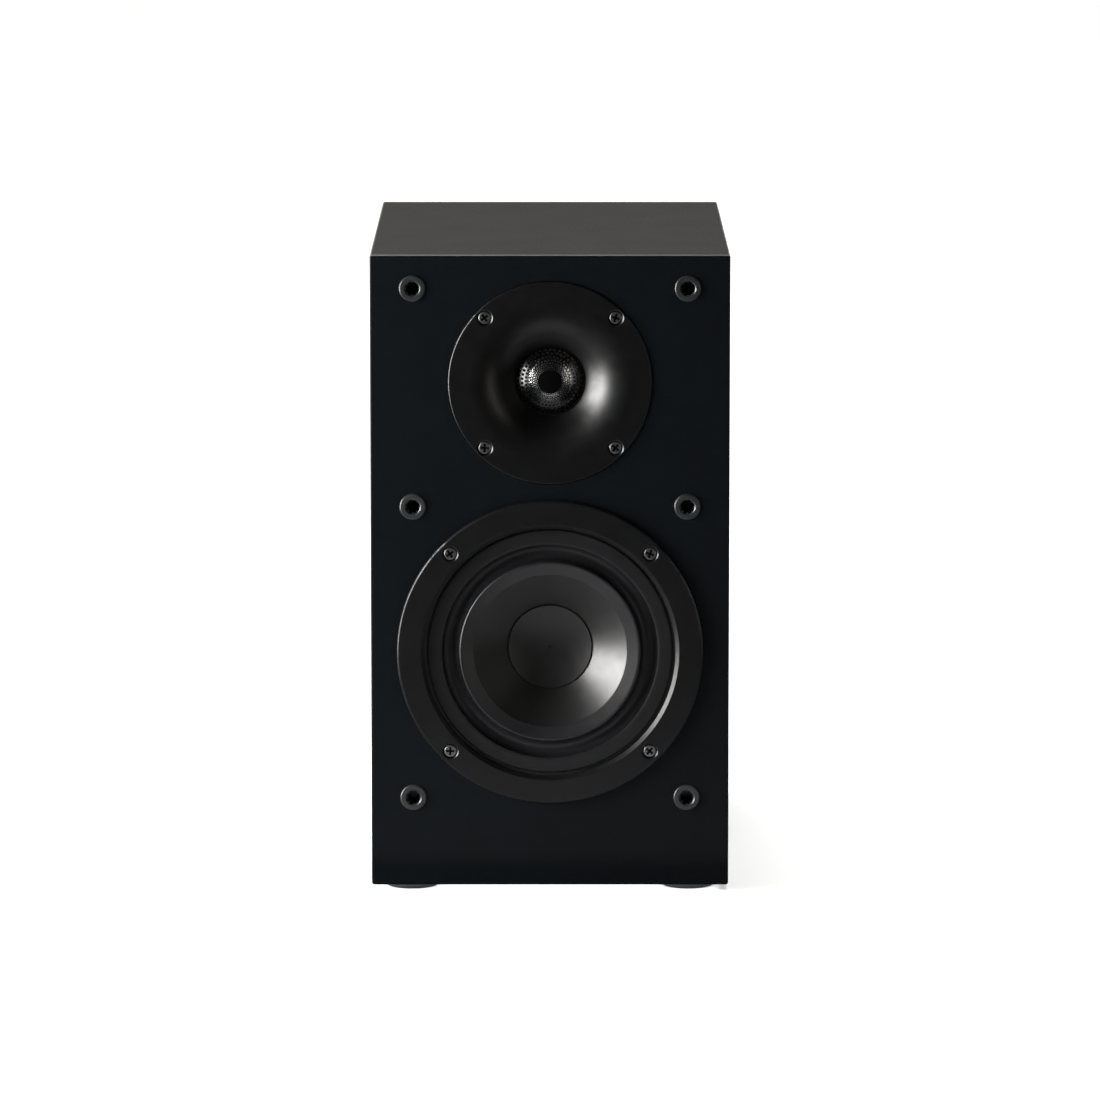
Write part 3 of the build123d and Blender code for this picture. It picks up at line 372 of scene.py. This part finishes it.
def slot_materials():
    """One finish for each material slot of the record.

    After name and colour, vinyl takes roughness, specular level and grain axis; moulded takes
    roughness, specular level, grain width, grain depth and colour variation; metal takes
    roughness and brush axis; fibrous takes fibre width and depth; woven takes thread pitch."""
    finishes = [
        vinyl("cabinet_vinyl", (0.0405, 0.0388, 0.0360), 0.46, 0.42, 1),
        vinyl("baffle_vinyl", (0.0016, 0.0026, 0.0036), 0.44, 0.10, 0),
        vinyl("rear_vinyl", (0.022, 0.022, 0.021), 0.5, 0.4, 0),
        fibrous("bare_fibreboard", (0.42, 0.30, 0.19), 0.8 * MM, 0.15 * MM),
        fibrous("felt", (0.30, 0.30, 0.29), 1.2 * MM, 0.9 * MM),
        moulded("foot_rubber", (0.03, 0.03, 0.03), 0.7, 0.3, 0.5 * MM, 0.03 * MM),
        moulded("socket_rubber", (0.011, 0.012, 0.0125), 0.38, 0.5, 0.4 * MM, 0.03 * MM, 0.3),
        moulded("surround_rubber", (0.006, 0.006, 0.007), 0.38, 0.45, 0.25 * MM, 0.008 * MM),
        moulded("clamp_rubber", (0.0055, 0.0056, 0.0062), 0.42, 0.26, 0.3 * MM, 0.015 * MM),
        fibrous("foam", (0.03, 0.03, 0.03), 0.5 * MM, 0.1 * MM),
        moulded("trim_plastic", (0.0030, 0.0031, 0.0032), 0.35, 0.28, 0.22 * MM, 0.012 * MM),
        moulded("horn_plastic", (0.0011, 0.0012, 0.0013), 0.37, 0.4, 0.2 * MM, 0.004 * MM),
        moulded("rear_plastic", (0.018, 0.018, 0.018), 0.5, 0.45, 0.5 * MM, 0.05 * MM),
        moulded("cone_poly", (0.0045, 0.0045, 0.0045), 0.39, 0.5, 0.3 * MM, 0.006 * MM),
        metal("black_screw", (0.24, 0.24, 0.24), 0.38),
        moulded("basket_paint", (0.025, 0.025, 0.027), 0.55, 0.4, 0.3 * MM, 0.03 * MM),
        metal("plated_steel", (0.62, 0.62, 0.60), 0.35, 2),
        metal("guard_metal", (0.05, 0.05, 0.05), 0.2),
        metal("dome_metal", (0.94, 0.94, 0.93), 0.28),
        moulded("ferrite", (0.06, 0.06, 0.065), 0.6, 0.4, 0.6 * MM, 0.04 * MM),
        metal("former_metal", (0.75, 0.75, 0.74), 0.4, 1),
        wound("copper", (0.72, 0.36, 0.20), 0.45 * MM, "Y"),
        woven("spider_cloth", (0.55, 0.33, 0.12), 0.7 * MM),
        woven("suspension_cloth", (0.03, 0.03, 0.03), 0.3 * MM, 0.6),
        moulded("phenolic", (0.30, 0.15, 0.07), 0.5, 0.4, 0.4 * MM, 0.02 * MM, 0.25),
        metal("post_brass", (0.83, 0.62, 0.26), 0.24, 1),
        moulded("red_plastic", (0.42, 0.008, 0.010), 0.28, 0.5, 0.4 * MM, 0.006 * MM),
        moulded("black_plastic", (0.012, 0.012, 0.012), 0.28, 0.5, 0.4 * MM, 0.006 * MM),
        moulded("collar_plastic", (0.015, 0.015, 0.015), 0.35, 0.5, 0.4 * MM, 0.01 * MM),
        moulded("board", (0.03, 0.18, 0.06), 0.35, 0.5, 1.5 * MM, 0.02 * MM, 0.3),
        moulded("capacitor_film", (0.62, 0.42, 0.06), 0.3, 0.5, 0.8 * MM, 0.02 * MM, 0.1),
        moulded("resistor_ceramic", (0.75, 0.74, 0.70), 0.8, 0.3, 0.5 * MM, 0.06 * MM),
        moulded("standoff", (0.72, 0.72, 0.69), 0.45, 0.5, 0.5 * MM, 0.01 * MM),
        moulded("wire_sleeve", (0.03, 0.03, 0.03), 0.35, 0.5, 0.6 * MM, 0.01 * MM),
    ]
    # The imported frame holds materials of the same names, so Blender adds a number to these.
    return {material.name.partition(".")[0]: material for material in finishes}


def dress_cad_nodes(materials):
    """Gives every CAD node the finish of its slot in the record."""
    for part in frame["record"]["subparts"]:
        mesh = nodes[part["node"]].data
        mesh.materials.clear()
        mesh.materials.append(materials[part["material_slot"]])
    wrap_baffle_edges(nodes["front_baffle"].data, materials["cabinet_vinyl"])
    for node in ("woofer_screws", "tweeter_screws"):
        paint_screw_recess_shade(node)
    disc = nodes["tweeter_centre_disc"].data
    disc.materials[0] = moulded("disc_coating", (0.0008, 0.0008, 0.0008), 0.8, 0.02)


SCREW_HEAD_RADIUS = 3.1 * MM
CROSS_REACH = 2.1 * MM
CROSS_DEPTH = 1.3 * MM
EDGE_ROUNDING = 1.5 * MM      # of the baffle's outer edges


def paint_screw_recess_shade(node):
    """Painted shade: a near-black dull finish on the floor and walls of each front screw's cross recess,
    standing in for the shade there.
    """
    mesh = nodes[node].data
    # painted shade: the recess finish is near-black to stand for the shade inside the cross
    mesh.materials.append(moulded("screw_recess_painted_shade", (0.0015, 0.0015, 0.0015), 0.7, 0.1))
    low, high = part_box(node)
    middle = (low + high) / 2
    across = (high.x - low.x) / 2 - SCREW_HEAD_RADIUS
    up = (high.z - low.z) / 2 - SCREW_HEAD_RADIUS
    for polygon in mesh.polygons:
        x, y, z = polygon.center
        off_axis = math.hypot(abs(x - middle.x) - across, abs(z - middle.z) - up)
        if off_axis < CROSS_REACH and 0.05 * MM < y - low.y < CROSS_DEPTH:
            # these recess polygons take the painted shade
            polygon.material_index = 1


def wrap_baffle_edges(mesh, wrap):
    """The cabinet's wrap covers the baffle's four sides, and the top's front edge gets a lighter vinyl as a
    painted highlight.
    """
    mesh.materials.append(wrap)
    # painted highlight: a lighter, glossier vinyl for the top front edge, where the light catches it
    mesh.materials.append(vinyl("top_edge_painted_highlight", (0.105, 0.108, 0.104), 0.36, 0.5, 0))
    low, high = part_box("front_baffle")
    for polygon in mesh.polygons:
        x, _, z = polygon.center
        to_side = min(x - low.x, high.x - x, z - low.z, high.z - z)
        if to_side > EDGE_ROUNDING:
            continue
        if polygon.normal.y > -0.25:
            polygon.material_index = 1
        elif polygon.normal.z > 0.3:
            # upward-facing edge polygons take the painted highlight
            polygon.material_index = 2


# ---------------------------------------------------------------- mesh helpers


def smooth(obj, degrees=32):
    for polygon in obj.data.polygons:
        polygon.use_smooth = True
    obj.data.set_sharp_from_angle(angle=math.radians(degrees))


def object_from(name, bm, material):
    mesh = bpy.data.meshes.new(name)
    bmesh.ops.recalc_face_normals(bm, faces=bm.faces)
    bm.to_mesh(mesh)
    bm.free()
    mesh.materials.append(material)
    obj = bpy.data.objects.new(name, mesh)
    bpy.context.scene.collection.objects.link(obj)
    return obj


def lathe(name, outline, material, z, steps=256):
    """Ring with a closed outline of (radius, depth) points, about a line along Y at height z."""
    bm = bmesh.new()
    rings = []
    for k in range(steps):
        angle = math.tau * k / steps
        c, s = math.cos(angle), math.sin(angle)
        rings.append([bm.verts.new((r * c, FRONT + d, z + r * s)) for r, d in outline])
    count = len(outline)
    for k in range(steps):
        here, there = rings[k], rings[(k + 1) % steps]
        for i in range(count):
            j = (i + 1) % count
            bm.faces.new((here[i], here[j], there[j], there[i]))
    bmesh.ops.remove_doubles(bm, verts=bm.verts, dist=1e-7)
    obj = object_from(name, bm, material)
    smooth(obj)
    return obj


def arc(centre, radius, start, end, count):
    """Points on an arc in the (radius, depth) plane; angles in degrees."""
    points = []
    for k in range(count + 1):
        angle = math.radians(start + (end - start) * k / count)
        points.append((centre[0] + radius * math.cos(angle), centre[1] + radius * math.sin(angle)))
    return points


def between(a, b, count):
    """Points from a to b, without b."""
    return [(a[0] + (b[0] - a[0]) * k / count, a[1] + (b[1] - a[1]) * k / count) for k in range(count)]


def ride_radially(obj):
    """Bakes a round piece's placement into its mesh."""
    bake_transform(obj)


# ---------------------------------------------------------------- woofer pieces

ROLL_CENTRE = 47.3 * MM
ROLL_RADIUS = 4.1 * MM
RUBBER = 0.6 * MM
LAND_DEPTH = 2.4 * MM
LIP_ROUND = 0.95 * MM
LIP_SHOULDER = 1.5 * MM       # depth where the lip's rounding starts
LIP_RADIUS = 42.1 * MM
LIP_DEPTH = 0.5 * MM
CONE_LAND = (36.6 * MM, 2.7 * MM)
CONE_GAP = 0.02 * MM          # between the lip and the cone under it
CONE_NECK = (19.4 * MM, 16.5 * MM)
CONE_END = (12.95 * MM, 23.0 * MM)
CONE_WALL = 0.7 * MM


def woofer_surround(materials):
    """Rubber half roll that dips inwards, with a rounded lip over the cone's edge."""
    rim = (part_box("woofer_surround")[1].x, LAND_DEPTH)
    roll = (ROLL_CENTRE, LAND_DEPTH)
    inner = ROLL_CENTRE - ROLL_RADIUS
    outer = ROLL_CENTRE + ROLL_RADIUS
    land_radius, land_depth = CONE_LAND
    front = between(rim, (outer, LAND_DEPTH), 6)
    front += arc(roll, ROLL_RADIUS, 0, 180, 36)
    front += between((inner, LAND_DEPTH), (inner, LIP_SHOULDER), 3)[1:]
    front += arc((inner - LIP_ROUND, LIP_SHOULDER), LIP_ROUND, 0, -82, 12)
    front += between((LIP_RADIUS, LIP_DEPTH + 0.08 * MM), CONE_LAND, 10)
    front.append(CONE_LAND)
    back = [(land_radius, land_depth + RUBBER - CONE_GAP)]
    back.append((LIP_RADIUS, LIP_DEPTH + RUBBER))
    back.append((inner - RUBBER, 1.9 * MM))
    back += arc(roll, ROLL_RADIUS + RUBBER, 172, 8, 36)
    back.append((rim[0], LAND_DEPTH + RUBBER))
    piece = lathe("woofer_surround_roll", front + back, materials["surround_rubber"], WOOFER_Z)
    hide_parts("woofer_surround")
    ride_radially(piece)


def woofer_cone(materials):
    """Straight-sided cone under the surround's lip, with a short neck behind the dust cap."""
    low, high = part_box("woofer_cone")
    rim = (high.x, low.y - FRONT)
    land_radius, land_depth = CONE_LAND
    front = [rim] + between((land_radius, land_depth + RUBBER), CONE_NECK, 48)
    front += [CONE_NECK, CONE_END]
    back = [(r, d + CONE_WALL) for r, d in reversed(front)]
    piece = lathe("woofer_cone_shell", front + back, materials["cone_poly"], WOOFER_Z, steps=360)
    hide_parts("woofer_cone")
    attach(piece, "woofer_diaphragm")


SPIDER_HUB = 12.95 * MM
SPIDER_ROLL = (15 * MM, 31 * MM)
SPIDER_WAVES = 8
SPIDER_WALL = 0.45 * MM


def woofer_spider(materials):
    """Corrugated cloth disc from the frame's shelf to the voice coil."""
    low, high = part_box("woofer_spider")
    middle = (low.y + high.y) / 2 - FRONT
    swing = (high.y - low.y - SPIDER_WALL) / 2
    start, end = SPIDER_ROLL
    count = SPIDER_WAVES * 12
    line = [(SPIDER_HUB, middle)]
    for k in range(count + 1):
        height = swing * math.sin(math.tau * SPIDER_WAVES * k / count)
        line.append((start + (end - start) * k / count, middle + height))
    line.append((high.x, middle))
    half = SPIDER_WALL / 2
    outline = [(r, d - half) for r, d in line] + [(r, d + half) for r, d in reversed(line)]
    piece = lathe("woofer_corrugated_spider", outline, materials["spider_cloth"], WOOFER_Z, steps=144)
    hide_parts("woofer_spider")
    ride_radially(piece)


LEAD_RADIUS = 0.46 * MM
LEAD_STRANDS = 6
LEAD_TURNS = 14
LEAD_POINTS = ((8.0, 24.4, -13.0), (12.2, 21.4, -38.0), (12.5, 30.7, -49.0))    # mm from the cone


def lead_tube(bm, start, middle, end):
    """Adds a braided tube on a parabola through three points; returns each vertex's share of motion."""
    steps, sides = 150, 24
    shares = []
    rings = []
    for k in range(steps + 1):
        s = k / steps
        centre = start * (2 * (s - 0.5) * (s - 1)) + middle * (-4 * s * (s - 1)) + end * (2 * s * (s - 0.5))
        along = start * (4 * s - 3) + middle * (4 - 8 * s) + end * (4 * s - 1)
        turn = along.normalized().to_track_quat("Z", "X")
        ring = []
        for i in range(sides):
            angle = math.tau * i / sides
            bulge = 1 + 0.09 * math.cos(LEAD_STRANDS * angle - math.tau * LEAD_TURNS * s)
            offset = Vector((math.cos(angle), math.sin(angle), 0)) * LEAD_RADIUS * bulge
            ring.append(bm.verts.new(centre + turn @ offset))
            shares.append(1 - s * s * (3 - 2 * s))
        rings.append(ring)
    for here, there in zip(rings, rings[1:]):
        for i in range(sides):
            j = (i + 1) % sides
            bm.faces.new((here[i], here[j], there[j], there[i]))
    bm.faces.new(rings[0])
    bm.faces.new(rings[-1])
    return shares


def woofer_leads(materials):
    """Two braided leads in a slack bow from the cone's neck to the terminal strip."""
    cone = Vector((0, FRONT, WOOFER_Z))
    bm = bmesh.new()
    shares = []
    for side in (-1, 1):
        start, middle, end = (cone + Vector((side * x, y, z)) * MM for x, y, z in LEAD_POINTS)
        shares += lead_tube(bm, start, middle, end)
    piece = object_from("woofer_braided_leads", bm, materials["copper"])
    smooth(piece, 60)
    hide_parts("woofer_tinsel_leads")
    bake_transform(piece)


CLAMP_INNER = [(51.3, 2.4), (51.3, 1.1), (51.36, 0.98), (51.5, 0.9)]    # mm
CLAMP_FACE = [(53.0, 0.9), (55.0, 0.9), (57.0, 0.9)]
CLAMP_OUTER = [(57.7, 0.92), (58.0, 1.0), (58.25, 1.2), (58.4, 1.5), (58.4, 2.4)]
CLAMP_TRIMMED = 57.5 * MM      # the ragged edge starts here
CLAMP_SIDE = 58.3 * MM


def woofer_clamp(materials):
    """Rubber band over the surround's rim; its outer edge is trimmed by hand and left ragged."""
    outline = [(r * MM, d * MM) for r, d in CLAMP_INNER + CLAMP_FACE + CLAMP_OUTER]
    piece = lathe("woofer_clamp_band", outline, materials["clamp_rubber"], WOOFER_Z, steps=720)
    for vertex in piece.data.vertices:
        radius = math.hypot(vertex.co.x, vertex.co.z - WOOFER_Z)
        if radius <= CLAMP_TRIMMED:
            continue
        place = Vector((vertex.co.x, 0, vertex.co.z)) / (1.1 * MM)
        ragged = noise.noise(place) + 0.6 * noise.noise(place * 2.7)
        trim = 1 + 0.16 * MM * (ragged - 0.6) / radius
        vertex.co.x *= trim
        vertex.co.z = WOOFER_Z + (vertex.co.z - WOOFER_Z) * trim
        if radius < CLAMP_SIDE:
            vertex.co.y += 0.10 * MM * ragged
    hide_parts("woofer_clamp_ring")
    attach(piece, "cabinet")


# ---------------------------------------------------------------- felt lining

FELT = 8 * MM


def felt_sheet(bm, origin, across, up, inward):
    """A closed felt slab on a wall: flat at the back, crowned and lumpy on its free face."""
    columns, rows = (max(8, round(edge.length / (4 * MM))) for edge in (across, up))
    faces = []
    for layer in (0, 1):
        grid = []
        for i in range(columns + 1):
            line = []
            for j in range(rows + 1):
                u, v = i / columns, j / rows
                place = origin + across * u + up * v
                crown = (1 - abs(2 * u - 1) ** 8) * (1 - abs(2 * v - 1) ** 8)
                lumps = noise.noise(place / (9 * MM)) + 0.5 * noise.noise(place / (3.5 * MM))
                depth = FELT * min(1.0, 0.62 + 0.28 * crown + 0.10 * lumps)
                line.append(bm.verts.new(place + inward * depth * layer))
            grid.append(line)
        faces.append(grid)
    back, front = faces
    for grid in faces:
        for i in range(columns):
            for j in range(rows):
                bm.faces.new((grid[i][j], grid[i + 1][j], grid[i + 1][j + 1], grid[i][j + 1]))
    for i in range(columns):
        for j in (0, rows):
            bm.faces.new((back[i][j], back[i + 1][j], front[i + 1][j], front[i][j]))
    for j in range(rows):
        for i in (0, columns):
            bm.faces.new((back[i][j], back[i][j + 1], front[i][j + 1], front[i][j]))


def felt_lining(materials):
    """Felt on both side walls, above and below the brace, and under the roof."""
    low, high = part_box("acoustic_lining")
    brace_low, brace_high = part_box("window_brace")
    gap = 4 * MM
    along = Vector((0, high.y - low.y, 0))
    bm = bmesh.new()
    spans = ((low.z, brace_low.z - gap), (brace_high.z + gap, high.z - FELT))
    for bottom, top in spans:
        for wall, inward in ((low.x, 1), (high.x, -1)):
            up = Vector((0, 0, top - bottom))
            felt_sheet(bm, Vector((wall, low.y, bottom)), along, up, Vector((inward, 0, 0)))
    roof = Vector((high.x - low.x, 0, 0))
    felt_sheet(bm, Vector((low.x, low.y, high.z)), along, roof, Vector((0, 0, -1)))
    piece = object_from("felt_lining", bm, materials["felt"])
    smooth(piece, 50)
    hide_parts("acoustic_lining")
    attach(piece, "cabinet")


# ---------------------------------------------------------------- tweeter pieces

TWEETER_ROLL = (12.72 * MM, 16.4 * MM)
TWEETER_ROLL_HEIGHT = 1.25 * MM
TWEETER_ROLL_STEP = 0.4 * MM
TWEETER_ROLL_WALL = 0.2 * MM


def tweeter_suspension(materials):
    """Half roll of coated cloth from the dome's rim to the front plate."""
    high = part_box("tweeter_suspension")[1]
    land = high.y - FRONT - TWEETER_ROLL_WALL
    inner, outer = TWEETER_ROLL
    count = 24
    line = []
    for k in range(count + 1):
        s = k / count
        rise = TWEETER_ROLL_STEP * (1 - s) + TWEETER_ROLL_HEIGHT * math.sin(math.pi * s)
        line.append((inner + (outer - inner) * s, land - rise))
    line.append((high.x, land))
    outline = line + [(r, d + TWEETER_ROLL_WALL) for r, d in reversed(line)]
    piece = lathe("tweeter_cloth_roll", outline, materials["suspension_cloth"], TWEETER_Z, steps=144)
    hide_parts("tweeter_suspension")
    ride_radially(piece)


HOLES_PER_RING = 40
HOLE_ROWS = 10
HOLE_SHARE = 0.70         # hole width over hole spacing
HOLE_SIDES = 18
GUARD_RADIUS = 15.9 * MM
GUARD_FLANGE = 0.5 * MM
GUARD_WALL = 0.12 * MM


def cell_reach(angle):
    """From the middle of a hexagonal cell, one spacing wide, to its edge."""
    sector = (angle - math.pi / 6) % (math.pi / 3) - math.pi / 6
    return 0.5 / math.cos(sector)


def tweeter_guard(materials):
    """Domed guard punched with rows of holes that shrink towards the middle.

    The rows lie on a hexagonal grid wrapped round a circle by the exponential map, so every
    hole stays round and its size follows its distance from the middle."""
    low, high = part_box("tweeter_mesh")
    base = high.y - GUARD_FLANGE
    rise = base - low.y
    sphere = (GUARD_RADIUS**2 + rise**2) / (2 * rise)
    step = math.tau / HOLES_PER_RING
    bm = bmesh.new()

    def place(u, v, reach, turn):
        """A point on the dome, reach spacings away from grid point (u, v)."""
        u += reach * math.cos(turn)
        v += reach * math.sin(turn)
        radius = min(GUARD_RADIUS * math.exp(-v * step), GUARD_RADIUS)
        depth = base - rise + sphere - math.sqrt(sphere**2 - radius**2)
        angle = u * step
        return bm.verts.new((radius * math.cos(angle), depth, TWEETER_Z + radius * math.sin(angle)))

    turns = [math.tau * i / HOLE_SIDES for i in range(HOLE_SIDES)]
    for row in range(HOLE_ROWS):
        for k in range(HOLES_PER_RING):
            u = k + 0.5 * (row % 2)
            v = 0.35 + row * math.sqrt(3) / 2
            edge = [place(u, v, cell_reach(turn), turn) for turn in turns]
            hole = [place(u, v, HOLE_SHARE / 2, turn) for turn in turns]
            for i in range(HOLE_SIDES):
                j = (i + 1) % HOLE_SIDES
                bm.faces.new((edge[i], edge[j], hole[j], hole[i]))
    bmesh.ops.remove_doubles(bm, verts=bm.verts, dist=0.004 * MM)
    guard = object_from("tweeter_perforated_guard", bm, materials["guard_metal"])
    solid = guard.modifiers.new("wall", "SOLIDIFY")
    solid.thickness = GUARD_WALL
    solid.offset = 0
    apply_modifiers(guard)
    smooth(guard, 40)
    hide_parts("tweeter_mesh")
    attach(guard, "cabinet")


def apply_modifiers(obj):
    bpy.context.view_layer.update()
    depsgraph = bpy.context.evaluated_depsgraph_get()
    mesh = bpy.data.meshes.new_from_object(obj.evaluated_get(depsgraph))
    obj.modifiers.clear()
    obj.data = mesh


# ---------------------------------------------------------------- build

make_camera()
make_world()
make_lights()
make_floor()
materials = slot_materials()
dress_cad_nodes(materials)
woofer_surround(materials)
woofer_cone(materials)
woofer_clamp(materials)
woofer_spider(materials)
woofer_leads(materials)
felt_lining(materials)
tweeter_guard(materials)
tweeter_suspension(materials)
